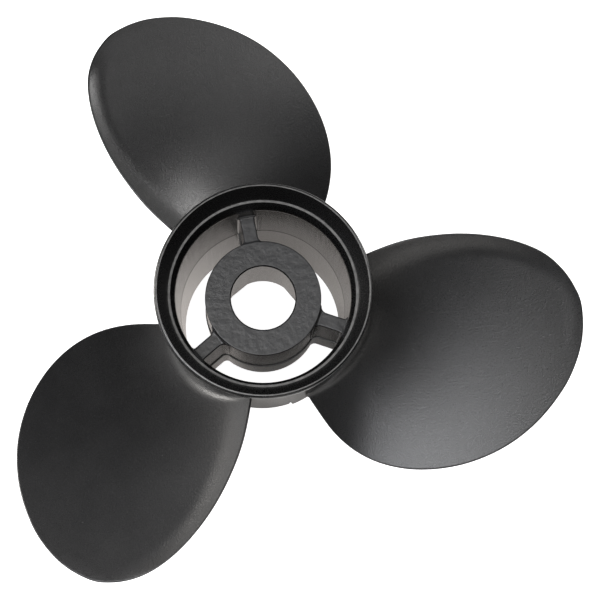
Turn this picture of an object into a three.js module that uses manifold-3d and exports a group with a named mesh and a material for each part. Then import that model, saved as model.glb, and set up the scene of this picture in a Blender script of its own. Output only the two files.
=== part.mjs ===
// A three-blade, right-hand, through-hub-exhaust boat propeller of the interchangeable-hub kind.
// Units are millimetres. +Z is the shaft line pointing aft. The origin is on the shaft line,
// in the plane of the barrel's forward face, so the propeller stands on that face.
import * as THREE from 'three';
import { mergeVertices } from 'three/addons/utils/BufferGeometryUtils.js';
import Module from 'manifold-3d';

const wasm = await Module();
wasm.setup();

// Overall size
const DIAMETER = 355.6;
const TIP_RADIUS = DIAMETER / 2;
const PITCH = 324;
const RISE_PER_RADIAN = PITCH / (2 * Math.PI);
const GAP = 0.3;

// Barrel: the outer tube that the exhaust leaves through
const BARREL_TOP = 97;
const BARREL_FORWARD_RADIUS = 50.3;
const BARREL_AFT_RADIUS = 52.4;
const CORE_JOINT = 55.3;
const CORE_STEP = 0.6;
const WALL_RADIUS_FORWARD = 46.7;
const WALL_RADIUS_JOINT = 46.9;
const WALL_RADIUS_AFT = 47.6;
const EDGE_BREAK = 0.5;

// Flare ring: the diffuser at the aft end of the barrel
const RIM_HEIGHT = 117;
const RIM_RADIUS = 56.2;
const FLARE_RADIUS = 58.2;
const FLARE_HEIGHT = 113.2;
const FLARE_SWEEP_OUT = 1.2;
const FLARE_SWEEP_DOWN = 7;
const LIP_BULGE = 0.4;
const FLARE_STEPS = 6;
const LIP_STEPS = 3;
const LEDGE_HEIGHT = 106.6;
const LEDGE_OUTER_RADIUS = 51.1;
const LEDGE_INNER_RADIUS = 49.8;

// Inner hub with its flat-sided socket for the drive sleeve
const HUB_FORWARD = 30;
const HUB_AFT = 91.8;
const HUB_RADIUS_AFT = 31.8;
const HUB_RADIUS_JOINT = 32.2;
const HUB_RADIUS_FORWARD = 32.5;
const BORE_RADIUS_AFT = 17.6;
const BORE_RADIUS_FORWARD = 21.9;
const BORE_CHAMFER = 0.7;
const SOCKET_FLATS = 4;
const SOCKET_FLAT_DIRECTION = THREE.MathUtils.degToRad(40);
const SOCKET_FLAT_HALF_ANGLE = THREE.MathUtils.degToRad(15);

// Ribs that carry the inner hub inside the barrel
const RIB_DIRECTION = THREE.MathUtils.degToRad(101.5);
const RIB_FORWARD = 31.5;
const RIB_AFT = 88.2;
const RIB_HALF_WIDTH_AFT = 3.9;
const RIB_HALF_WIDTH_JOINT = 4.6;
const RIB_HALF_WIDTH_FORWARD = 5;

// Blades
const BLADE_COUNT = 3;
const BLADE_DIRECTION = THREE.MathUtils.degToRad(110);
const BLADE_MID_HEIGHT = 72.1;
const RAKE_MID_RADIUS = 110;
const RAKE_SLOPE = 0.191;
const RAKE_CURVE = 0.00095;
const ROOT_THICKNESS = 12;
const TIP_THICKNESS = 3.2;
const EDGE_THICKNESS = 1.9;
const CUP_HEIGHT = 3.5;
const CUP_START_ROOT = 0.69;
const CUP_START_OUTER = 0.84;
const CUP_ROOT_RADIUS = 60;
const CUP_OUTER_RADIUS = 140;
const CUP_FADE_START = 152;
const CUP_FADE_END = 177;
const ROOT_FILLET = 12;
const EDGE_FILLET = 3;
const BLADE_ROWS = 22;
const BLADE_COLUMNS = 18;
const LAST_ROW = 0.997;
const ROW_CROWDING = 0.04;

// Blade outline as [radius, leading edge, trailing edge], with the edges in degrees about the
// shaft line from the blade's own direction. The spacing tightens towards the round tip.
const TIP_ANGLE = 3.4;
const BLADE_STATIONS = [
  [40, -48.8, 33],
  [60, -48.8, 33],
  [80, -47.9, 32.1],
  [100, -44.3, 29.7],
  [120, -38, 26.6],
  [140, -29.4, 22.8],
  [155, -21.3, 19.2],
  [165, -14.3, 15.8],
  [172, -7.7, 12.3],
  [176, -2.5, 9],
  [TIP_RADIUS, TIP_ANGLE, TIP_ANGLE],
];

const ROUND_SEGMENTS = 90;
const SOCKET_SEGMENTS = 72;

// ---------- helpers ----------

function paint(color, roughness, metalness) {
  return new THREE.MeshStandardMaterial({ color, roughness, metalness });
}

function toManifold(geometry) {
  const plain = geometry.clone();
  plain.deleteAttribute('normal');
  plain.deleteAttribute('uv');
  const merged = mergeVertices(plain, 1e-4);
  return new wasm.Manifold(new wasm.Mesh({
    numProp: 3,
    vertProperties: new Float32Array(merged.attributes.position.array),
    triVerts: new Uint32Array(merged.index.array),
  }));
}

function toGeometry(solid) {
  const mesh = solid.getMesh();
  const geometry = new THREE.BufferGeometry();
  geometry.setAttribute('position', new THREE.BufferAttribute(mesh.vertProperties, 3));
  geometry.setIndex(new THREE.BufferAttribute(mesh.triVerts, 1));
  geometry.computeVertexNormals();
  return geometry;
}

// Turns a closed [radius, height] outline, listed counter-clockwise, about the shaft line.
function turned(outline, segments = ROUND_SEGMENTS) {
  const points = outline.map(([radius, height]) => new THREE.Vector2(radius, height));
  points.push(points[0].clone());
  const geometry = new THREE.LatheGeometry(points, segments);
  geometry.rotateX(Math.PI / 2);
  return geometry;
}

function ease(value, start, end) {
  return THREE.MathUtils.lerp(start, end, THREE.MathUtils.clamp(value, 0, 1));
}

// ---------- barrel ----------

function barrelOuterRadius(height) {
  return ease(height / BARREL_TOP, BARREL_FORWARD_RADIUS, BARREL_AFT_RADIUS);
}

// The wall is cast around two cores that meet in one plane, which leaves a small step there.
function wallOutline(offset) {
  return [
    [WALL_RADIUS_AFT + offset, BARREL_TOP],
    [WALL_RADIUS_JOINT + offset, CORE_JOINT],
    [WALL_RADIUS_JOINT - CORE_STEP + offset, CORE_JOINT],
    [WALL_RADIUS_FORWARD + offset, 0],
  ];
}

function makeBarrel() {
  return turned([
    [BARREL_FORWARD_RADIUS - EDGE_BREAK, 0],
    [BARREL_FORWARD_RADIUS, EDGE_BREAK],
    [BARREL_AFT_RADIUS, BARREL_TOP],
    ...wallOutline(0),
  ]);
}

// ---------- flare ring ----------

function makeFlareRing() {
  const foot = BARREL_TOP + GAP;
  const outside = new THREE.QuadraticBezierCurve(
    new THREE.Vector2(BARREL_AFT_RADIUS, foot),
    new THREE.Vector2(BARREL_AFT_RADIUS + FLARE_SWEEP_OUT, FLARE_HEIGHT - FLARE_SWEEP_DOWN),
    new THREE.Vector2(FLARE_RADIUS, FLARE_HEIGHT),
  );
  const lip = new THREE.QuadraticBezierCurve(
    new THREE.Vector2(FLARE_RADIUS, FLARE_HEIGHT),
    new THREE.Vector2(FLARE_RADIUS + LIP_BULGE, RIM_HEIGHT),
    new THREE.Vector2(RIM_RADIUS, RIM_HEIGHT),
  );
  return turned([
    ...outside.getPoints(FLARE_STEPS).map((point) => [point.x, point.y]),
    ...lip.getPoints(LIP_STEPS).slice(1).map((point) => [point.x, point.y]),
    [RIM_RADIUS - EDGE_BREAK, RIM_HEIGHT - EDGE_BREAK],
    [LEDGE_OUTER_RADIUS, LEDGE_HEIGHT],
    [LEDGE_INNER_RADIUS, LEDGE_HEIGHT],
    [LEDGE_INNER_RADIUS - EDGE_BREAK, LEDGE_HEIGHT - EDGE_BREAK],
    [WALL_RADIUS_AFT, foot],
  ]);
}

// ---------- inner hub ----------

function hubOuterOutline(offset) {
  return [
    [HUB_RADIUS_FORWARD + offset, HUB_FORWARD],
    [HUB_RADIUS_JOINT + CORE_STEP + offset, CORE_JOINT],
    [HUB_RADIUS_JOINT + offset, CORE_JOINT],
    [HUB_RADIUS_AFT + offset, HUB_AFT],
  ];
}

// The bore is round at its aft mouth and gains flats as it widens forward, so that a tapered
// drive sleeve pushed in from the front can't turn in it.
function socketRadius(angle, height) {
  const depth = THREE.MathUtils.clamp((HUB_AFT - height) / (HUB_AFT - HUB_FORWARD), 0, 1);
  const round = ease(depth, BORE_RADIUS_AFT, BORE_RADIUS_FORWARD);
  const flatDistance = ease(depth, BORE_RADIUS_AFT, BORE_RADIUS_FORWARD * Math.cos(SOCKET_FLAT_HALF_ANGLE));
  const sector = (2 * Math.PI) / SOCKET_FLATS;
  const turn = THREE.MathUtils.euclideanModulo(angle - SOCKET_FLAT_DIRECTION + sector / 2, sector);
  return Math.min(round, flatDistance / Math.cos(turn - sector / 2));
}

function makeInnerHub() {
  const geometry = turned([
    ...hubOuterOutline(0),
    [BORE_RADIUS_AFT + BORE_CHAMFER, HUB_AFT],
    [BORE_RADIUS_AFT, HUB_AFT - BORE_CHAMFER],
    [BORE_RADIUS_AFT, (HUB_AFT + HUB_FORWARD) / 2],
    [BORE_RADIUS_FORWARD, HUB_FORWARD],
  ], SOCKET_SEGMENTS);
  const position = geometry.attributes.position;
  for (let i = 0; i < position.count; i += 1) {
    const radius = Math.hypot(position.getX(i), position.getY(i));
    const height = position.getZ(i);
    const angle = Math.atan2(position.getY(i), position.getX(i));
    if (radius <= BORE_RADIUS_FORWARD && height < HUB_AFT) {
      const reach = socketRadius(angle, height) / radius;
      position.setXYZ(i, position.getX(i) * reach, position.getY(i) * reach, height);
    }
  }
  return geometry;
}

// ---------- ribs ----------

function makeRib(index) {
  const section = new THREE.Shape([
    new THREE.Vector2(-RIB_HALF_WIDTH_AFT, RIB_AFT),
    new THREE.Vector2(-RIB_HALF_WIDTH_JOINT, CORE_JOINT),
    new THREE.Vector2(-RIB_HALF_WIDTH_JOINT - CORE_STEP, CORE_JOINT),
    new THREE.Vector2(-RIB_HALF_WIDTH_FORWARD, RIB_FORWARD),
    new THREE.Vector2(RIB_HALF_WIDTH_FORWARD, RIB_FORWARD),
    new THREE.Vector2(RIB_HALF_WIDTH_JOINT + CORE_STEP, CORE_JOINT),
    new THREE.Vector2(RIB_HALF_WIDTH_JOINT, CORE_JOINT),
    new THREE.Vector2(RIB_HALF_WIDTH_AFT, RIB_AFT),
  ]);
  const bar = new THREE.ExtrudeGeometry(section, { depth: WALL_RADIUS_AFT, bevelEnabled: false });
  const alongRib = new THREE.Matrix4().makeBasis(
    new THREE.Vector3(0, 1, 0),
    new THREE.Vector3(0, 0, 1),
    new THREE.Vector3(1, 0, 0),
  );
  bar.applyMatrix4(alongRib);
  bar.rotateZ(RIB_DIRECTION + (index * 2 * Math.PI) / BLADE_COUNT);
  const passage = turned([
    [HUB_RADIUS_FORWARD + GAP, 0],
    [WALL_RADIUS_FORWARD - GAP, 0],
    ...wallOutline(-GAP).reverse().slice(1),
    [HUB_RADIUS_AFT + GAP, BARREL_TOP],
    ...hubOuterOutline(GAP).reverse(),
  ], SOCKET_SEGMENTS);
  return toGeometry(toManifold(bar).intersect(toManifold(passage)));
}

// ---------- blades ----------

// The curve runs one station past the tip, where the two edges have changed places, so that the
// outline is smooth round the tip.
const [lastRadius, lastLeading, lastTrailing] = BLADE_STATIONS.at(-2);
const stationCurve = new THREE.CatmullRomCurve3(
  [...BLADE_STATIONS, [lastRadius, lastTrailing, lastLeading]].map((station) => new THREE.Vector3(...station)),
  false,
  'catmullrom',
);

function rake(radius) {
  const out = radius - RAKE_MID_RADIUS;
  return RAKE_SLOPE * out - RAKE_CURVE * out * out;
}

// Quarter-round fillet height at a distance from the barrel.
function filletHeight(distance, radius) {
  const reach = THREE.MathUtils.clamp(radius - distance, 0, radius);
  return radius - Math.sqrt(radius * radius - reach * reach);
}

function bladeThickness(radius, chord) {
  const bladeLength = TIP_RADIUS - BARREL_AFT_RADIUS;
  const outward = THREE.MathUtils.clamp((radius - BARREL_AFT_RADIUS) / bladeLength, 0, 1);
  const middle = THREE.MathUtils.lerp(ROOT_THICKNESS, TIP_THICKNESS, Math.sqrt(outward));
  return EDGE_THICKNESS + (middle - EDGE_THICKNESS) * (1 - chord * chord);
}

// The trailing edge is cupped: its last stretch curls aft, and the curl fades out at the tip.
function cup(chord, radius) {
  const outward = THREE.MathUtils.smoothstep(radius, CUP_ROOT_RADIUS, CUP_OUTER_RADIUS);
  const start = THREE.MathUtils.lerp(CUP_START_ROOT, CUP_START_OUTER, outward);
  const curl = THREE.MathUtils.clamp((chord - start) / (1 - start), 0, 1);
  const fade = THREE.MathUtils.smoothstep(radius, CUP_FADE_START, CUP_FADE_END);
  return CUP_HEIGHT * curl * curl * (1 - fade);
}

// along runs 0 to 1 from root to tip, chord -1 to 1 from leading to trailing edge,
// side is 1 on the aft face and -1 on the forward back. Thickness and fillets are laid off
// square to the helix on the cylinder through the point, as propeller sections are drawn.
function bladePoint(along, chord, side) {
  const station = stationCurve.getPoint(along);
  const radius = station.x;
  const halfChord = THREE.MathUtils.degToRad(station.z - station.y) / 2;
  const middle = THREE.MathUtils.degToRad(station.z + station.y) / 2;
  const plainHeight = BLADE_MID_HEIGHT + RISE_PER_RADIAN * (middle + halfChord * chord) + rake(radius);
  const fromBarrel = radius - barrelOuterRadius(plainHeight);
  const widened = halfChord + filletHeight(fromBarrel, EDGE_FILLET) / radius;
  const angle = middle + widened * chord;
  const height = BLADE_MID_HEIGHT + RISE_PER_RADIAN * angle + rake(radius) + cup(chord, radius);
  const filletRadius = THREE.MathUtils.lerp(ROOT_FILLET, EDGE_FILLET, chord * chord);
  const fillet = filletHeight(fromBarrel, filletRadius);
  const shift = side > 0 ? fillet : -bladeThickness(radius, chord) - fillet;
  const pitchAngle = Math.atan2(RISE_PER_RADIAN, radius);
  const turn = angle - (Math.sin(pitchAngle) * shift) / radius;
  const lift = height + Math.cos(pitchAngle) * shift;
  return new THREE.Vector3(radius * Math.cos(turn), radius * Math.sin(turn), lift);
}

// Rows crowd towards the root fillet and the tip.
function rowPosition(fraction) {
  const tip = (BLADE_STATIONS.length - 1) / BLADE_STATIONS.length;
  return tip * LAST_ROW * (fraction - ROW_CROWDING * Math.sin(2 * Math.PI * fraction));
}

function makeBlade(index) {
  const lattice = new THREE.BoxGeometry(2, 2, 2, BLADE_COLUMNS, BLADE_ROWS, 1);
  const position = lattice.attributes.position;
  for (let i = 0; i < position.count; i += 1) {
    const chord = -Math.sin((position.getX(i) * Math.PI) / 2);
    const along = rowPosition((position.getY(i) + 1) / 2);
    const point = bladePoint(along, chord, position.getZ(i));
    position.setXYZ(i, point.x, point.y, point.z);
  }
  lattice.rotateZ(BLADE_DIRECTION + (index * 2 * Math.PI) / BLADE_COUNT);
  const clearance = turned([
    [0, -GAP],
    [BARREL_FORWARD_RADIUS + GAP, -GAP],
    [BARREL_AFT_RADIUS + GAP, BARREL_TOP],
    [0, BARREL_TOP],
  ]);
  return toGeometry(toManifold(lattice).subtract(toManifold(clearance)));
}

// ---------- assembly ----------

const propeller = new THREE.Group();

function add(name, geometry, material) {
  const mesh = new THREE.Mesh(geometry, material);
  mesh.name = name;
  propeller.add(mesh);
}

add('exhaust_barrel', makeBarrel(), paint(0x3a3938, 0.45, 0.1));
add('flare_ring', makeFlareRing(), paint(0x1b1b1c, 0.35, 0.1));
add('inner_hub', makeInnerHub(), paint(0x46474a, 0.5, 0.1));
for (let i = 0; i < BLADE_COUNT; i += 1) {
  add(`hub_rib_${i + 1}`, makeRib(i), paint(0x414245, 0.45, 0.1));
  add(`blade_${i + 1}`, makeBlade(i), paint(0x2e2e2f, 0.5, 0.1));
}

export default propeller;
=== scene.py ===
"""Boat propeller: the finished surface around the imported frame. Lengths are in millimetres
until a mesh is made, and every mesh is then in metres, in the frame's own axes."""
import math

import bpy
import numpy as np
from mathutils import Euler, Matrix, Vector


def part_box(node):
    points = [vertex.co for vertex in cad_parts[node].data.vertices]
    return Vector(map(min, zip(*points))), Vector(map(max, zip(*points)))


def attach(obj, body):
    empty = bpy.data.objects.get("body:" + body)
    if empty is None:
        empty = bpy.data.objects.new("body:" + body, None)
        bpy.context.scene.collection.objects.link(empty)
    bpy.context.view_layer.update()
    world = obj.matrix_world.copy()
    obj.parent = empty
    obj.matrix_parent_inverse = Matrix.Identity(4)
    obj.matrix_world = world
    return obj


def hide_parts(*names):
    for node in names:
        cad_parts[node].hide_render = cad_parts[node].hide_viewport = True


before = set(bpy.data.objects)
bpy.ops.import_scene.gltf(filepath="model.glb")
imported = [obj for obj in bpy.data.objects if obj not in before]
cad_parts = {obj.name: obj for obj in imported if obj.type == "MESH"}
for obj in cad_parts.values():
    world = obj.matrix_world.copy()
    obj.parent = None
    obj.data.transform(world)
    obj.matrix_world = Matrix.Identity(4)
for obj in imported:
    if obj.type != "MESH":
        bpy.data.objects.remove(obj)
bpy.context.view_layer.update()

MM = 0.001


# ---------- dimensions, from the frame where it states them ----------

def span(node):
    """A CAD node's lowest and highest corners in millimetres."""
    low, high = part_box(node)
    return np.array(low) / MM, np.array(high) / MM


def node_radii(node):
    """The distance of every point of a CAD node from the shaft line, in millimetres."""
    points = np.array([vertex.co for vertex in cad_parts[node].data.vertices])
    return np.hypot(points[:, 0], points[:, 1]) / MM


BLADE_COUNT = 3
BARREL_TOP = span("exhaust_barrel")[1][2]
BARREL_AFT_RADIUS = node_radii("exhaust_barrel").max()
BARREL_FORWARD_RADIUS = 50.3
RIM_HEIGHT = span("flare_ring")[1][2]
FLARE_RADIUS = node_radii("flare_ring").max()
HUB_FORWARD = span("inner_hub")[0][2]
HUB_AFT = span("inner_hub")[1][2]
RIB_FORWARD = span("hub_rib_1")[0][2]
RIB_AFT = span("hub_rib_1")[1][2]
TIP_RADIUS = node_radii("blade_1").max()

CORE_JOINT = 55.3
CORE_STEP = 0.6
WALL_STEP = 0.15
WALL_STEP_HALF_HEIGHT = 0.7
WALL_RADIUS_FORWARD = 46.7
WALL_RADIUS_JOINT = 46.9
WALL_RADIUS_AFT = 47.6
BARREL_SEGMENTS = 720
FLARE_HEIGHT = 113.2
FLARE_SWEEP_OUT = 0.9
FLARE_SWEEP_DOWN = 6
FLARE_SEGMENTS = 240
LIP_LEAN = 0.2
RIM_RADIUS = 56.2
LEDGE_HEIGHT = 106.6
LEDGE_OUTER_RADIUS = 51.1
LEDGE_INNER_RADIUS = 49.8
THROAT_HEIGHT = 100
THROAT_ROUNDING = 14
SEAM_ANGLE_AT_JOINT = math.radians(-76)
SEAM_ANGLE_AT_FOOT = math.radians(-69.7)
SEAM_DEPTH = 0.9
SEAM_HALF_WIDTH = 0.8
SEAM_RISE_AT_JOINT = 0.4
SEAM_RISE_AT_FOOT = 0.9
SEAM_BAND_LENGTH = 11
SEAM_BAND_FADE = 2
# the outer skin that a seam shapes in full, and the share of its length over which it starts
SEAM_SKIN = 0.8
SEAM_START = 0.08
HUB_RADIUS_AFT = 31.8
HUB_RADIUS_JOINT = 32.2
HUB_RADIUS_FORWARD = 32.5
BORE_RADIUS_AFT = 17.6
BORE_RADIUS_FORWARD = 21.9
BORE_CHAMFER = 0.7
HUB_SEGMENTS = 216
SOCKET_FLATS = 4
SOCKET_FLAT_DIRECTION = math.radians(40)
SOCKET_FLAT_HALF_ANGLE = math.radians(15)
RIB_DIRECTION = math.radians(101.5)
RIB_HALF_WIDTH_AFT = 3.9
RIB_HALF_WIDTH_JOINT = 4.6
RIB_HALF_WIDTH_FORWARD = 5.0
RIB_CLEARANCE = 0.1
RIB_DEPTH_IN_HUB = 2
RIB_DEPTH_IN_WALL = 1.5
# fillets at the hub and at the barrel's wall
RIB_SIDE_FILLETS = (3.0, 1.4)
RIB_END_FILLETS = (1.0, 0.6)
RIB_FLAT_HALF_WIDTH = 2

PITCH = 324
RISE_PER_RADIAN = PITCH / (2 * math.pi)
BLADE_DIRECTION = math.radians(110)
BLADE_MID_HEIGHT = 72.1
RAKE_MID_RADIUS = 110
RAKE_SLOPE = 0.191
RAKE_CURVE = 0.00095
ROOT_THICKNESS = 12.0
TIP_THICKNESS = 3.2
EDGE_THICKNESS = 1.9
CUP_SLOPE_ROOT = 0.42
CUP_SLOPE_TIP = 0.68
CUP_WIDTH_ROOT = 17.0
CUP_WIDTH_TIP = 11.0
CUP_BEND = 1.1
CUP_ROOT_RADIUS = 60
CUP_OUTER_RADIUS = 140
CUP_FADE_START = 152
CUP_FADE_END = 177
ROOT_RADIUS = (BARREL_FORWARD_RADIUS + BARREL_AFT_RADIUS) / 2
ROOT_DEPTH_IN_BARREL = 1.5
ROOT_FADE_LENGTH = 40
ROOT_FILLET = 12.0
ROOT_FILLET_ROWS = 22
EDGE_FILLET = 3.0
EDGE_ROUNDING = 0.9
BODY_ROUNDING = 14
BLADE_COLUMNS = 72
OUTLINE_ROWS = 130
# how much closer the outline's rows are at its ends, and how near the tip the last one is
ROW_CROWDING = 0.04
LAST_ROW = 0.9995
TIP_ANGLE = 3.4
# radius, and the angles of the leading and the trailing edge there in degrees
BLADE_STATIONS = [
    [40, -48.8, 33],
    [60, -48.8, 33],
    [80, -47.9, 32.1],
    [100, -44.3, 29.7],
    [120, -38, 26.6],
    [140, -29.4, 22.8],
    [155, -21.3, 19.2],
    [165, -14.3, 15.8],
    [172, -7.7, 12.3],
    [176, -2.5, 9],
    [177.8, TIP_ANGLE, TIP_ANGLE],
]

# limits on the shaft-line part of a face's normal, and on its distance from a wall
FACES_SIDEWAYS = 0.5
FACES_ASLANT = 0.4
FACES_AFT = 0.9
ON_SURFACE = 0.1


# ---------- helpers ----------

def smoothstep(value, start, end):
    t = np.clip((value - start) / (end - start), 0, 1)
    return t * t * (3 - 2 * t)


def catmull_rom(points, last, t):
    """Uniform Catmull-Rom curve through points, at t from 0 to 1, heading for last at its end."""
    points = np.array(points, float)
    first = 2 * points[0] - points[1]
    padded = np.vstack([first, points, last])
    place = np.clip(t, 0, 1) * (len(points) - 1)
    start = np.minimum(place.astype(int), len(points) - 2)
    u = (place - start)[:, None]
    a, b, c, d = (padded[start + k] for k in range(4))
    return 0.5 * (
        2 * b + (c - a) * u
        + (2 * a - 5 * b + 4 * c - d) * u ** 2
        + (3 * b - a - 3 * c + d) * u ** 3
    )


def cylindrical(radius, angle, height):
    """Points in millimetres from radius, angle about the shaft line and height."""
    return np.stack([radius * np.cos(angle), radius * np.sin(angle), height], axis=-1)


def make_mesh(name, points, faces, material):
    """A smooth-shaded mesh object from points in millimetres."""
    mesh = bpy.data.meshes.new(name)
    mesh.from_pydata((np.asarray(points) * MM).tolist(), [], faces)
    mesh.validate()
    mesh.shade_smooth()
    mesh.materials.append(material)
    piece = bpy.data.objects.new(name, mesh)
    bpy.context.scene.collection.objects.link(piece)
    return piece


def paint_faces(piece, material, wanted):
    """Gives one more material to the faces whose middle, in millimetres, is wanted."""
    index = len(piece.data.materials)
    piece.data.materials.append(material)
    for polygon in piece.data.polygons:
        if wanted(polygon.center / MM, polygon.normal):
            polygon.material_index = index


def in_passage(middle, normal):
    """True on the walls of the exhaust passages and of the socket, which face sideways."""
    from_shaft = math.hypot(middle.x, middle.y)
    return abs(normal.z) < FACES_SIDEWAYS and from_shaft < WALL_RADIUS_AFT + ON_SURFACE


def on_shaded_aft_wall(middle, normal):
    """True on the barrel's inner wall aft of the core joint, where a darker paint puts painted shade."""
    return in_passage(middle, normal) and middle.z > CORE_JOINT


def in_bore(middle, normal):
    """True on the wall of the socket."""
    from_shaft = math.hypot(middle.x, middle.y)
    return abs(normal.z) < FACES_SIDEWAYS and from_shaft < BORE_RADIUS_FORWARD + ON_SURFACE


def on_bore_edge_shade(middle, normal):
    """True on the chamfer round the aft mouth of the socket, which gets painted shade: the flare's much
    darker paint.
    """
    from_shaft = math.hypot(middle.x, middle.y)
    return FACES_ASLANT < normal.z < FACES_AFT and from_shaft < BORE_RADIUS_AFT + BORE_CHAMFER


def on_flare_outside(middle, normal):
    """True on the flare's outer surface below its brim."""
    return middle.x * normal.x + middle.y * normal.y > 0 and middle.z < FLARE_HEIGHT


def on_painted_highlight(middle, normal):
    """True on the flare's crest and on its ledge, which face aft and get a painted highlight: a lighter
    paint standing for the lights reflected there.
    """
    return normal.z > FACES_AFT


def ring_faces(rows, columns, close_rows):
    """Quads between rows of a grid whose columns close on themselves."""
    faces = []
    for row in range(rows if close_rows else rows - 1):
        following = (row + 1) % rows
        for column in range(columns):
            beside = (column + 1) % columns
            faces.append((
                row * columns + column,
                row * columns + beside,
                following * columns + beside,
                following * columns + column,
            ))
    return faces


def corner_arc(before, here, after, rounding):
    """The points that round off one corner of an outline."""
    arc_steps = 5
    if rounding == 0:
        return [here]
    back = (before - here) / np.linalg.norm(before - here)
    ahead = (after - here) / np.linalg.norm(after - here)
    half = math.acos(np.clip(back @ ahead, -1, 1)) / 2
    reach = rounding / math.tan(half)
    middle = (back + ahead) / np.linalg.norm(back + ahead)
    centre = here + middle * rounding / math.sin(half)
    start = here + back * reach - centre
    sweep = math.pi - 2 * half
    turn = np.sign(back[0] * ahead[1] - back[1] * ahead[0])
    arc = []
    for step in range(arc_steps + 1):
        angle = -turn * sweep * step / arc_steps
        arc.append(centre + np.array([
            start[0] * math.cos(angle) - start[1] * math.sin(angle),
            start[0] * math.sin(angle) + start[1] * math.cos(angle),
        ]))
    return arc


def rounded_outline(corners):
    """A closed [radius, height] outline whose corners, given as (radius, height, rounding),
    become arcs. Straight runs get support points near their ends and evenly between them."""
    support = 0.5
    longest_step = 7.0
    count = len(corners)
    sharp = [np.array(corner[:2], float) for corner in corners]
    arcs = [
        corner_arc(sharp[i - 1], sharp[i], sharp[(i + 1) % count], corners[i][2])
        for i in range(count)
    ]
    outline = []
    for i in range(count):
        outline.extend(arcs[i])
        start, end = arcs[i][-1], arcs[(i + 1) % count][0]
        length = np.linalg.norm(end - start)
        if length > 4 * support:
            inner = max(1, math.ceil((length - 2 * support) / longest_step))
            along = support + (length - 2 * support) * np.arange(inner + 1) / inner
            outline.extend(start + (end - start) * step / length for step in along)
    return np.array(outline)


def turned(name, outline, segments, material, reshape=None):
    """A closed outline turned about the shaft line. reshape may move the grid of points."""
    angle = 2 * math.pi * np.arange(segments) / segments
    radius = np.repeat(outline[:, :1], segments, axis=1)
    height = np.repeat(outline[:, 1:], segments, axis=1)
    turn = np.repeat(angle[None, :], len(outline), axis=0)
    if reshape:
        radius, turn, height = reshape(radius, turn, height)
    points = cylindrical(radius, turn, height).reshape(-1, 3)
    return make_mesh(name, points, ring_faces(len(outline), segments, True), material)


def about_shaft(points, angle):
    """Points turned by an angle about the shaft line."""
    return np.stack([
        points[:, 0] * math.cos(angle) - points[:, 1] * math.sin(angle),
        points[:, 0] * math.sin(angle) + points[:, 1] * math.cos(angle),
        points[:, 2],
    ], axis=1)


def barrel_radius(height):
    """The barrel's outer radius, which grows a little from its foot to the flare."""
    part = np.clip(height / BARREL_TOP, 0, 1)
    return BARREL_FORWARD_RADIUS + (BARREL_AFT_RADIUS - BARREL_FORWARD_RADIUS) * part


def fillet_height(distance, radius):
    """Height of a quarter-round fillet at a distance from the surface it meets."""
    reach = np.clip(radius - distance, 0, radius)
    return radius - np.sqrt(radius ** 2 - reach ** 2)


# ---------- materials ----------

def new_material(name):
    material = bpy.data.materials.new(name)
    material.use_nodes = True
    nodes = material.node_tree.nodes
    return material, nodes, material.node_tree.links, nodes["Principled BSDF"]


def noise(nodes, links, coordinates, scale, detail=3.0, roughness=0.55):
    texture = nodes.new("ShaderNodeTexNoise")
    texture.inputs["Scale"].default_value = scale
    texture.inputs["Detail"].default_value = detail
    texture.inputs["Roughness"].default_value = roughness
    links.new(coordinates, texture.inputs["Vector"])
    return texture.outputs["Fac"]


def remap(nodes, links, value, low_in, high_in, low_out, high_out):
    node = nodes.new("ShaderNodeMapRange")
    for socket, number in zip(("From Min", "From Max", "To Min", "To Max"),
                              (low_in, high_in, low_out, high_out)):
        node.inputs[socket].default_value = number
    links.new(value, node.inputs["Value"])
    return node.outputs["Result"]


def blend_colours(nodes, links, factor, first, second):
    node = nodes.new("ShaderNodeMix")
    node.data_type = "RGBA"
    links.new(factor, node.inputs["Factor"])
    for socket, colour in ((node.inputs["A"], first), (node.inputs["B"], second)):
        if isinstance(colour, tuple):
            socket.default_value = (*colour, 1)
        else:
            links.new(colour, socket)
    return node.outputs["Result"]


def bump(nodes, links, height, strength, distance, normal=None):
    node = nodes.new("ShaderNodeBump")
    node.inputs["Strength"].default_value = strength
    node.inputs["Distance"].default_value = distance
    links.new(height, node.inputs["Height"])
    if normal is not None:
        links.new(normal, node.inputs["Normal"])
    return node.outputs["Normal"]


# pattern scales are per metre, and depths are in metres
PAINT_IOR = 1.5
FINE_SCALE = 2600
GRAIN_SCALE = 1100
GRAIN_DEPTH = 0.0002
MOTTLE_DEPTH = 0.0008
# how far the roughness goes below and above its middle
SMOOTHER = 0.05
ROUGHER = 0.06
# a speck's radius in cell sizes, and the cells' random number above which they have one
SPECK_SCALE = 240
SPECK_RADIUS = (0.035, 0.055)
SPECK_CHOICE = (0.76, 0.8)
SPECK_BRIGHTNESS = 6


def dust_specks(nodes, links, position):
    """A mask of small round specks, one in about a fifth of the cells of a cell pattern."""
    cells = nodes.new("ShaderNodeTexVoronoi")
    cells.inputs["Scale"].default_value = SPECK_SCALE
    links.new(position, cells.inputs["Vector"])
    chosen = nodes.new("ShaderNodeSeparateColor")
    links.new(cells.outputs["Color"], chosen.inputs["Color"])
    speck = nodes.new("ShaderNodeMath")
    speck.operation = "MULTIPLY"
    links.new(remap(nodes, links, cells.outputs["Distance"], *SPECK_RADIUS, 1, 0), speck.inputs[0])
    links.new(remap(nodes, links, chosen.outputs["Red"], *SPECK_CHOICE, 0, 1), speck.inputs[1])
    return speck.outputs[0]


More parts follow.
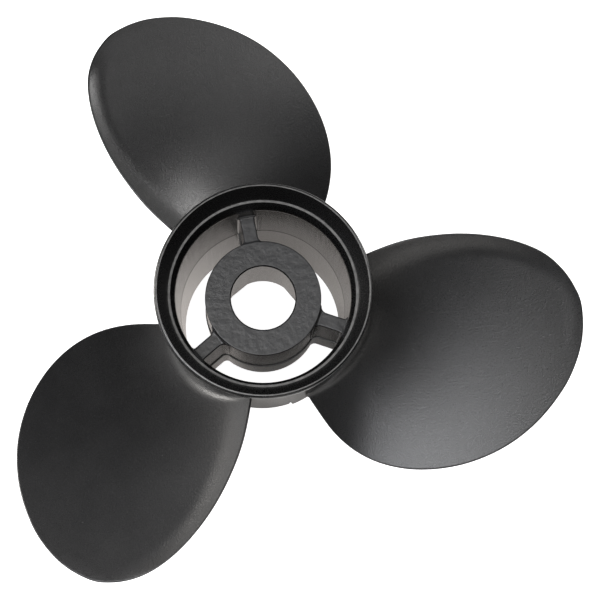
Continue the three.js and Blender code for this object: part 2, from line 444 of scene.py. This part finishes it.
def black_paint(name, dark, light, roughness, grain_bump,
                mottle_scale=45, mottle_bump=0.0, specular=0.5, stretch=1.0):
    """Satin black paint: fine grain, soft mottling, scattered dust specks. The mottling turns
    into streaks along the shaft line where stretch, its scale in that direction, is small."""
    material, nodes, links, shader = new_material(name)
    position = nodes.new("ShaderNodeTexCoord").outputs["Object"]
    stretched = nodes.new("ShaderNodeMapping")
    stretched.inputs["Scale"].default_value = (1, 1, stretch)
    links.new(position, stretched.inputs["Vector"])
    fine = noise(nodes, links, position, FINE_SCALE, 2.0)
    grain = noise(nodes, links, position, GRAIN_SCALE, 3.0)
    mottle = noise(nodes, links, stretched.outputs["Vector"], mottle_scale, 4.0)
    base = blend_colours(nodes, links, remap(nodes, links, mottle, 0.3, 0.7, 0, 1), dark, light)
    speck_colour = tuple(min(1.0, channel * SPECK_BRIGHTNESS) for channel in light)
    colour = blend_colours(nodes, links, dust_specks(nodes, links, position), base, speck_colour)
    links.new(colour, shader.inputs["Base Color"])
    uneven = remap(nodes, links, fine, 0.25, 0.75, roughness - SMOOTHER, roughness + ROUGHER)
    links.new(uneven, shader.inputs["Roughness"])
    normal = bump(nodes, links, grain, grain_bump, GRAIN_DEPTH)
    if mottle_bump:
        normal = bump(nodes, links, mottle, mottle_bump, MOTTLE_DEPTH, normal)
    links.new(normal, shader.inputs["Normal"])
    shader.inputs["IOR"].default_value = PAINT_IOR
    shader.inputs["Specular IOR Level"].default_value = specular
    return material


blade_paint = black_paint(
    "blade_paint", (0.011, 0.011, 0.0115), (0.015, 0.015, 0.0155), 0.29, 0.6)
barrel_paint = black_paint(
    "barrel_paint", (0.02, 0.0195, 0.019), (0.034, 0.033, 0.032), 0.38, 0.3)
passage_paint = black_paint(
    "passage_paint", (0.012, 0.011, 0.01), (0.034, 0.031, 0.028), 0.2, 0.2,
    mottle_scale=380, mottle_bump=0.35, specular=0.5, stretch=0.07)
# painted shade: a darker, less glossy copy of the passage paint, which darkens the wall aft of the core
# joint
aft_wall_shade_paint = black_paint(
    "aft_wall_shade_paint", (0.01, 0.0093, 0.0085), (0.026, 0.024, 0.0215), 0.22, 0.2,
    mottle_scale=380, mottle_bump=0.3, specular=0.27, stretch=0.07)
bore_paint = black_paint(
    "bore_paint", (0.01, 0.0093, 0.0085), (0.04, 0.037, 0.034), 0.22, 0.3,
    mottle_scale=500, mottle_bump=0.6, specular=0.25, stretch=0.07)
# painted shade: a much darker copy of the black paint for the inward-facing flare cone and the socket's
# chamfer, which reflect dark surroundings
flare_paint = black_paint(
    "flare_paint", (0.003, 0.003, 0.0031), (0.004, 0.004, 0.0042), 0.26, 0.2)
# painted highlight: a lighter grey for the faces that face aft, standing for the lights reflected on the
# crest and the ledge
crest_highlight_paint = black_paint(
    "crest_highlight_paint", (0.05, 0.05, 0.0505), (0.12, 0.119, 0.118), 0.34, 0.3,
    mottle_scale=300, mottle_bump=0.3)
hub_paint = black_paint(
    "hub_paint", (0.018, 0.0185, 0.02), (0.03, 0.031, 0.033), 0.36, 0.25,
    mottle_scale=230, mottle_bump=0.6)


# ---------- pieces ----------

def seam_reshape(radius, angle, height):
    """The die's three parting seams below the core joint: a slanting groove, with a raised band
    beside it, in the barrel's outer surface."""
    down = 1 - np.clip(height / CORE_JOINT, 0, 1)
    seam = SEAM_ANGLE_AT_JOINT + (SEAM_ANGLE_AT_FOOT - SEAM_ANGLE_AT_JOINT) * down
    sector = 2 * math.pi / BLADE_COUNT
    beside = (np.mod(angle - seam + sector / 2, sector) - sector / 2) * BARREL_FORWARD_RADIUS
    groove = SEAM_DEPTH * np.clip(1 - np.abs(beside) / SEAM_HALF_WIDTH, 0, 1)
    rise = SEAM_RISE_AT_JOINT + (SEAM_RISE_AT_FOOT - SEAM_RISE_AT_JOINT) * down
    band = rise * smoothstep(beside, 0, SEAM_HALF_WIDTH)
    band = band * (1 - smoothstep(beside, SEAM_BAND_LENGTH, SEAM_BAND_LENGTH + SEAM_BAND_FADE))
    below_joint = smoothstep(down, 0, SEAM_START)
    outside = smoothstep(radius, WALL_RADIUS_AFT, BARREL_FORWARD_RADIUS - SEAM_SKIN)
    return radius + (band - groove) * below_joint * outside, angle, height


def make_barrel():
    outline = rounded_outline([
        (BARREL_FORWARD_RADIUS, 0, 0.7),
        (barrel_radius(CORE_JOINT), CORE_JOINT, 0),
        (BARREL_AFT_RADIUS, BARREL_TOP, 0),
        (WALL_RADIUS_AFT, BARREL_TOP, 0),
        (WALL_RADIUS_JOINT, CORE_JOINT + WALL_STEP_HALF_HEIGHT, 1.0),
        (WALL_RADIUS_JOINT - WALL_STEP, CORE_JOINT - WALL_STEP_HALF_HEIGHT, 1.0),
        (WALL_RADIUS_FORWARD, 0, 0.7),
    ])
    barrel = turned("barrel", outline, BARREL_SEGMENTS, barrel_paint, seam_reshape)
    paint_faces(barrel, passage_paint, in_passage)
    # painted shade on the wall aft of the core joint
    paint_faces(barrel, aft_wall_shade_paint, on_shaded_aft_wall)
    return barrel


def make_flare_ring():
    t = np.linspace(0, 1, 12)[:, None]
    foot = np.array([BARREL_AFT_RADIUS, BARREL_TOP])
    pull = np.array([BARREL_AFT_RADIUS + FLARE_SWEEP_OUT, FLARE_HEIGHT - FLARE_SWEEP_DOWN])
    brim = np.array([FLARE_RADIUS, FLARE_HEIGHT])
    outside = (1 - t) ** 2 * foot + 2 * t * (1 - t) * pull + t ** 2 * brim
    corners = [(radius, height, 0) for radius, height in outside[:-1]]
    wall_slope = (WALL_RADIUS_AFT - WALL_RADIUS_JOINT) / (BARREL_TOP - CORE_JOINT)
    throat_radius = WALL_RADIUS_AFT + wall_slope * (THROAT_HEIGHT - BARREL_TOP)
    corners += [
        (FLARE_RADIUS, FLARE_HEIGHT, 1.2),
        (FLARE_RADIUS - LIP_LEAN, RIM_HEIGHT, 1.6),
        (RIM_RADIUS, RIM_HEIGHT, 0.3),
        (LEDGE_OUTER_RADIUS, LEDGE_HEIGHT, 0.12),
        (LEDGE_INNER_RADIUS, LEDGE_HEIGHT, 0.25),
        (throat_radius, THROAT_HEIGHT, THROAT_ROUNDING),
        (WALL_RADIUS_AFT, BARREL_TOP, 0),
    ]
    # the flare's own paint is painted shade, far darker than the rest of the casting
    flare = turned("flare", rounded_outline(corners), FLARE_SEGMENTS, flare_paint)
    # painted highlight on the crest and the ledge
    paint_faces(flare, crest_highlight_paint, on_painted_highlight)
    paint_faces(flare, barrel_paint, on_flare_outside)
    return flare


def socket_reshape(radius, angle, height):
    """Cuts the flats of the drive socket into the bore."""
    depth = np.clip((HUB_AFT - height) / (HUB_AFT - HUB_FORWARD), 0, 1)
    bore = BORE_RADIUS_AFT + (BORE_RADIUS_FORWARD - BORE_RADIUS_AFT) * depth
    flat_forward = BORE_RADIUS_FORWARD * math.cos(SOCKET_FLAT_HALF_ANGLE)
    flat = BORE_RADIUS_AFT + (flat_forward - BORE_RADIUS_AFT) * depth
    sector = 2 * math.pi / SOCKET_FLATS
    turn = np.mod(angle - SOCKET_FLAT_DIRECTION + sector / 2, sector) - sector / 2
    shaped = np.minimum(bore, flat / np.cos(turn))
    inside = radius < (BORE_RADIUS_FORWARD + HUB_RADIUS_AFT) / 2
    return np.where(inside, radius * shaped / bore, radius), angle, height


def make_hub():
    outline = rounded_outline([
        (HUB_RADIUS_FORWARD, HUB_FORWARD, 0.8),
        (HUB_RADIUS_JOINT + CORE_STEP, CORE_JOINT, 0.2),
        (HUB_RADIUS_JOINT, CORE_JOINT, 0.15),
        (HUB_RADIUS_AFT, HUB_AFT, 0.6),
        (BORE_RADIUS_AFT + BORE_CHAMFER, HUB_AFT, 0.15),
        (BORE_RADIUS_AFT, HUB_AFT - BORE_CHAMFER, 0.15),
        (BORE_RADIUS_FORWARD, HUB_FORWARD, 0.6),
    ])
    hub = turned("hub", outline, HUB_SEGMENTS, hub_paint, socket_reshape)
    paint_faces(hub, passage_paint, in_passage)
    paint_faces(hub, bore_paint, in_bore)
    # painted shade on the socket's chamfer
    paint_faces(hub, flare_paint, on_bore_edge_shade)
    return hub


def rib_section():
    """The rib's section as (sideways, height): widest at the core joint, where it is stepped."""
    half = [
        (RIB_HALF_WIDTH_AFT, RIB_AFT, 0.9),
        (RIB_HALF_WIDTH_JOINT, CORE_JOINT, 0.15),
        (RIB_HALF_WIDTH_JOINT + CORE_STEP, CORE_JOINT, 0.2),
        (RIB_HALF_WIDTH_FORWARD, RIB_FORWARD, 0.9),
    ]
    mirrored = [(-sideways, height, rounding) for sideways, height, rounding in half]
    return rounded_outline(mirrored + half[::-1])


def rib_row(section, reach, inner, outer):
    """One cross-section of a rib, at a reach from the shaft line, which swells near both walls."""
    sideways, height = section[:, 0], section[:, 1]
    middle_height = (RIB_AFT + RIB_FORWARD) / 2
    half_height = (RIB_AFT - RIB_FORWARD) / 2
    nearer = 0 if reach - inner < outer - reach else 1
    gap = max(0.0, min(reach - inner, outer - reach))
    side = fillet_height(gap, RIB_SIDE_FILLETS[nearer])
    end = fillet_height(gap, RIB_END_FILLETS[nearer])
    wide = sideways + np.sign(sideways) * side * np.clip(np.abs(sideways) / RIB_FLAT_HALF_WIDTH, 0, 1)
    tall = height + end * (height - middle_height) / half_height
    along = np.sqrt(np.maximum(reach ** 2 - wide ** 2, 0))
    return np.stack([along, wide, tall], axis=1)


def make_rib(index):
    """A rib between hub and barrel. Its section is swept outward and flares into both."""
    section = rib_section()
    hub_fillet, wall_fillet = RIB_SIDE_FILLETS
    inner = HUB_RADIUS_JOINT + RIB_CLEARANCE
    outer = WALL_RADIUS_JOINT + RIB_CLEARANCE
    arc = 1 - np.cos(np.linspace(0, math.pi / 2, 9))
    stations = np.concatenate([
        [inner - RIB_DEPTH_IN_HUB], inner + hub_fillet * arc[:-1],
        np.linspace(inner + hub_fillet, outer - wall_fillet, 6),
        (outer - wall_fillet * arc[:-1])[::-1], [outer + RIB_DEPTH_IN_WALL],
    ])
    points = np.concatenate([rib_row(section, reach, inner, outer) for reach in stations])
    count = len(section)
    faces = ring_faces(len(stations), count, False)
    faces.append(tuple(range(count))[::-1])
    faces.append(tuple(range((len(stations) - 1) * count, len(stations) * count)))
    direction = RIB_DIRECTION + index * 2 * math.pi / BLADE_COUNT
    rib = make_mesh(f"rib_{index + 1}", about_shaft(points, direction), faces, hub_paint)
    paint_faces(rib, passage_paint, in_passage)
    return rib


def rake(radius):
    """How far the blade leans aft at a radius."""
    out = radius - RAKE_MID_RADIUS
    return RAKE_SLOPE * out - RAKE_CURVE * out * out


def helicoid(radius, angle):
    """Points of the blade's plain face in millimetres, without cup or fillets."""
    return cylindrical(radius, angle, BLADE_MID_HEIGHT + RISE_PER_RADIAN * angle + rake(radius))


def distance_to_edge(points, edge):
    """Distance from each point of a grid to the nearest point of an edge line."""
    starts, ends = edge[:-1], edge[1:]
    run = ends - starts
    length = np.maximum((run ** 2).sum(axis=1), 1e-12)
    distance = np.empty(points.shape[:2])
    for row in range(points.shape[0]):
        offset = points[row][:, None, :] - starts[None]
        t = np.clip((offset * run[None]).sum(axis=2) / length[None], 0, 1)
        gap = offset - t[..., None] * run[None]
        distance[row] = np.sqrt((gap ** 2).sum(axis=2)).min(axis=1)
    return distance


def cup_height(distance, radius):
    """The trailing edge's curl, which steepens towards the edge and fades out at the tip."""
    outward = smoothstep(radius, CUP_ROOT_RADIUS, CUP_OUTER_RADIUS)
    width = CUP_WIDTH_ROOT + (CUP_WIDTH_TIP - CUP_WIDTH_ROOT) * outward
    slope = CUP_SLOPE_ROOT + (CUP_SLOPE_TIP - CUP_SLOPE_ROOT) * outward
    inward = np.clip(1 - distance / width, 0, 1)
    rise = slope * width * inward ** (CUP_BEND + 1) / (CUP_BEND + 1)
    return rise * (1 - smoothstep(radius, CUP_FADE_START, CUP_FADE_END))


def blade_rows():
    """The blade's outline as rows of radius, leading angle and trailing angle in degrees. The
    rows are close together round the root fillet and at the tip."""
    fraction = np.linspace(0, 1, OUTLINE_ROWS)
    along = LAST_ROW * (fraction - ROW_CROWDING * np.sin(2 * math.pi * fraction))
    # past the tip the two edges change places, which makes the outline smooth round the tip
    radius_past, leading_past, trailing_past = BLADE_STATIONS[-2]
    outline = catmull_rom(BLADE_STATIONS, [radius_past, trailing_past, leading_past], along)
    arc = ROOT_FILLET * (1 - np.cos(np.linspace(0, math.pi / 2, ROOT_FILLET_ROWS)))
    radius = np.concatenate([[ROOT_RADIUS - ROOT_DEPTH_IN_BARREL], ROOT_RADIUS + arc])
    leading, trailing = (np.interp(radius, outline[:, 0], outline[:, side]) for side in (1, 2))
    past_fillet = outline[:, 0] > ROOT_RADIUS + ROOT_FILLET + 1
    return np.vstack([np.stack([radius, leading, trailing], axis=1), outline[past_fillet]])


def edge_distances(grid, rows):
    """Distances of a grid's points from the blade's leading edge and from its trailing edge."""
    outer = rows[rows[:, 0] > ROOT_RADIUS]
    edges = (helicoid(outer[:, 0], np.radians(outer[:, side])) for side in (1, 2))
    return [distance_to_edge(grid, edge) for edge in edges]


def body_thickness(radius, chord, distance):
    """What the blade's body adds to the thickness of its edges."""
    outward = np.clip((radius - BARREL_AFT_RADIUS) / (TIP_RADIUS - BARREL_AFT_RADIUS), 0, 1)
    thickest = ROOT_THICKNESS + (TIP_THICKNESS - ROOT_THICKNESS) * np.sqrt(outward)
    return (thickest - EDGE_THICKNESS) * (1 - chord ** 2) * smoothstep(distance, 0, BODY_ROUNDING)


def blade_skin():
    """Grids of points on the blade's face and on its back, before it is turned to its place.
    Near its root the blade follows the tapered barrel and runs into it with a fillet."""
    rows = blade_rows()
    row_radius = rows[:, :1]
    leading, trailing = np.radians(rows[:, 1:2]), np.radians(rows[:, 2:])
    half_chord = (trailing - leading) / 2
    middle = (trailing + leading) / 2
    chord = -np.cos(np.linspace(0, math.pi, BLADE_COLUMNS + 1))[None, :]
    plain = helicoid(row_radius + 0 * chord, middle + half_chord * chord)
    plain_height = plain[..., 2]

    from_barrel = row_radius - ROOT_RADIUS
    root_fade = 1 - smoothstep(row_radius, ROOT_RADIUS, ROOT_RADIUS + ROOT_FADE_LENGTH)
    radius = row_radius + (barrel_radius(plain_height) - ROOT_RADIUS) * root_fade
    angle = middle + (half_chord + fillet_height(from_barrel, EDGE_FILLET) / radius) * chord
    to_leading, to_trailing = edge_distances(plain, rows)
    height = helicoid(row_radius + 0 * chord, angle)[..., 2] + cup_height(to_trailing, row_radius)

    distance = np.minimum(to_leading, to_trailing)
    rim = np.clip(1 - distance / EDGE_ROUNDING, 0, 1)
    rounding = EDGE_ROUNDING * (1 - np.sqrt(1 - rim ** 2))
    body = body_thickness(radius, chord, distance)
    fillet = fillet_height(from_barrel, ROOT_FILLET + (EDGE_FILLET - ROOT_FILLET) * chord ** 2)
    slope = RISE_PER_RADIAN / radius
    across = -slope / np.sqrt(1 + slope ** 2)
    upward = 1 / np.sqrt(1 + slope ** 2)

    def surface(shift):
        moved = height + upward * shift
        slip = (barrel_radius(moved) - barrel_radius(plain_height)) * root_fade
        return cylindrical(radius + slip, angle + across * shift / radius, moved)

    return surface(fillet - rounding), surface(rounding - fillet - body - EDGE_THICKNESS)


def make_blade(index):
    face, back = blade_skin()
    loops = np.concatenate([face, back[:, ::-1]], axis=1)
    count, width = loops.shape[:2]
    direction = BLADE_DIRECTION + index * 2 * math.pi / BLADE_COUNT
    points = about_shaft(loops.reshape(-1, 3), direction)
    faces = ring_faces(count, width, False)
    tip = (count - 1) * width
    for column in range(BLADE_COLUMNS):
        opposite = width - 1 - column
        faces.append((column + 1, column, opposite, opposite - 1))
        faces.append((tip + column, tip + column + 1, tip + opposite - 1, tip + opposite))
    return make_mesh(f"blade_skin_{index + 1}", points, faces, blade_paint)


def place(piece, slot, *nodes):
    """Puts a finished piece in the frame, in the stead of its CAD nodes."""
    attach(piece, "root")
    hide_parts(*nodes)


place(make_barrel(), "barrel_paint", "exhaust_barrel")
place(make_flare_ring(), "flare_paint", "flare_ring")
place(make_hub(), "hub_paint", "inner_hub")
for number in range(BLADE_COUNT):
    place(make_rib(number), "hub_paint", f"hub_rib_{number + 1}")
    place(make_blade(number), "blade_paint", f"blade_{number + 1}")


# ---------- stage ----------

AMBIENT = 0.02
BACKDROP = 1.0
PASSAGE_GLOW = 0.58
PASSAGE_GLOW_DIM = 0.12
FLOOR_GLOW = 0.27
FAR_GLOW = 0.015
GLOW_COLOUR = (1.0, 0.93, 0.88)
COOL = (0.96, 0.97, 1.0)
NEUTRAL = (1.0, 0.99, 0.98)
WARM = (1.0, 0.97, 0.93)
FLOOR_HALF_SIDE = 4000
# where the floor's glow changes, in metres from the shaft line
PASSAGE_EDGE = (0.047, 0.052)
FLOOR_FADE = (0.12, 0.26)
TOWARD_FRONT = (0.5, -1, 0)
FRONT_FADE = (0.005, 0.04)
SIDE_FADE = (-0.04, -0.01)
SIDE_STRENGTH = (1.45, 0.8)

CAMERA_LENS = 82.55
CAMERA_SENSOR = 36
CAMERA_TILT = math.radians(10.89)
CAMERA_PAN = math.radians(-1.78)
# from the middle of the rim, along the camera's own axes
CAMERA_OFFSET = (19.3, -6.0, 726.35)

# the lights' distance from the propeller's middle in metres
LIGHT_DISTANCE = 1.6
# name, azimuth and elevation in degrees, side in metres, power in watts, colour
SOFTBOXES = [
    ("key", 200, 48, 0.6, 9.9, COOL),
    ("key_high", 225, 62, 0.6, 7.0, COOL),
    ("key_front", 222, 48, 0.6, 1.1, NEUTRAL),
    ("key_low", 168, 16, 0.5, 18.0, WARM),
    ("top_left", 160, 77, 0.6, 3.6, WARM),
    ("top_front", 250, 77, 0.6, 5.0, NEUTRAL),
    ("right", 22, 62, 0.6, 4.9, NEUTRAL),
    ("right_back", 60, 48, 0.6, 1.5, NEUTRAL),
    ("right_middle", 10, 32, 0.6, 1.2, NEUTRAL),
    ("right_edge", 34, 9, 0.35, 6.0, NEUTRAL),
    ("right_low", 28, 8, 0.6, 0.7, NEUTRAL),
    ("right_root", 20, 18, 0.6, 0.9, NEUTRAL),
    ("left_middle", 145, 32, 0.6, 0.8, COOL),
    ("left_low", 150, 8, 0.6, 1.8, WARM),
    ("front_low", 240, 8, 0.6, 1.4, WARM),
    ("front", 285, 20, 0.6, 2.6, WARM),
]


def floor_glow(nodes, links, position):
    """How strongly the floor lights the propeller: most inside the exhaust passages, uneven
    there from front to back and from side to side, and fading out far from the middle."""
    from_middle = nodes.new("ShaderNodeVectorMath")
    from_middle.operation = "LENGTH"
    links.new(position, from_middle.inputs[0])
    distance = from_middle.outputs["Value"]
    toward_front = nodes.new("ShaderNodeVectorMath")
    toward_front.operation = "DOT_PRODUCT"
    toward_front.inputs[1].default_value = TOWARD_FRONT
    links.new(position, toward_front.inputs[0])
    sides = nodes.new("ShaderNodeSeparateXYZ")
    links.new(position, sides.inputs["Vector"])
    front = remap(nodes, links, toward_front.outputs["Value"], *FRONT_FADE, PASSAGE_GLOW, PASSAGE_GLOW_DIM)
    side = remap(nodes, links, sides.outputs["X"], *SIDE_FADE, *SIDE_STRENGTH)
    passage_glow = nodes.new("ShaderNodeMath")
    passage_glow.operation = "MULTIPLY"
    links.new(front, passage_glow.inputs[0])
    links.new(side, passage_glow.inputs[1])
    glow = nodes.new("ShaderNodeMix")
    links.new(remap(nodes, links, distance, *PASSAGE_EDGE, 0, 1), glow.inputs[0])
    links.new(passage_glow.outputs[0], glow.inputs[2])
    links.new(remap(nodes, links, distance, *FLOOR_FADE, FLOOR_GLOW, FAR_GLOW), glow.inputs[3])
    return glow.outputs[0]


def make_floor():
    """A pale light table that the propeller stands on. Its glow fades out from the middle, as
    the light it sends back at the propeller does, but it looks evenly pale to the camera."""
    half = FLOOR_HALF_SIDE
    corners = [(-half, -half, 0), (half, -half, 0), (half, half, 0), (-half, half, 0)]
    material, nodes, links, shader = new_material("pale_floor")
    shader.inputs["Base Color"].default_value = (0.8, 0.8, 0.8, 1)
    shader.inputs["Roughness"].default_value = 0.9
    position = nodes.new("ShaderNodeTexCoord").outputs["Object"]
    camera_ray = nodes.new("ShaderNodeLightPath").outputs["Is Camera Ray"]
    tint = blend_colours(nodes, links, camera_ray, GLOW_COLOUR, (1.0, 1.0, 1.0))
    links.new(tint, shader.inputs["Emission Color"])
    strength = nodes.new("ShaderNodeMix")
    links.new(camera_ray, strength.inputs[0])
    links.new(floor_glow(nodes, links, position), strength.inputs[2])
    strength.inputs[3].default_value = 1.0
    links.new(strength.outputs[0], shader.inputs["Emission Strength"])
    floor = make_mesh("floor", corners, [(0, 1, 2, 3)], material)


def softbox(name, azimuth, elevation, size, power, colour):
    """A square area light facing the propeller, its direction in degrees."""
    target = Vector((0, 0, RIM_HEIGHT / 2)) * MM
    light = bpy.data.lights.new(name, "AREA")
    light.shape = "SQUARE"
    light.size = size
    light.energy = power
    light.color = colour
    lamp = bpy.data.objects.new(name, light)
    turn, rise = math.radians(azimuth), math.radians(elevation)
    level = math.cos(rise)
    toward = Vector((math.cos(turn) * level, math.sin(turn) * level, math.sin(rise)))
    lamp.location = target + toward * LIGHT_DISTANCE
    lamp.rotation_euler = (-toward).to_track_quat("-Z", "Y").to_euler()
    bpy.context.scene.collection.objects.link(lamp)


def make_world():
    """A dim, even surround that looks white to the camera."""
    world = bpy.data.worlds.new("studio")
    world.use_nodes = True
    nodes, links = world.node_tree.nodes, world.node_tree.links
    background = nodes["Background"]
    background.inputs["Color"].default_value = (1, 1, 1, 1)
    camera_ray = nodes.new("ShaderNodeLightPath").outputs["Is Camera Ray"]
    strength = remap(nodes, links, camera_ray, 0, 1, AMBIENT, BACKDROP)
    links.new(strength, background.inputs["Strength"])
    bpy.context.scene.world = world


def make_camera():
    """A camera over the aft end, leaning a little to the front and to the side."""
    camera_data = bpy.data.cameras.new("camera")
    camera_data.lens = CAMERA_LENS
    camera_data.sensor_width = CAMERA_SENSOR
    camera = bpy.data.objects.new("camera", camera_data)
    turn = Euler((CAMERA_TILT, CAMERA_PAN, 0), "XYZ")
    offset = Vector(CAMERA_OFFSET)
    offset.rotate(turn)
    camera.rotation_euler = turn
    camera.location = (Vector((0, 0, RIM_HEIGHT)) + offset) * MM
    bpy.context.scene.collection.objects.link(camera)
    bpy.context.scene.camera = camera


make_floor()
for name, azimuth, elevation, size, power, colour in SOFTBOXES:
    softbox(name, azimuth, elevation, size, power, colour)
make_world()
make_camera()
bpy.context.scene.view_settings.view_transform = "Standard"
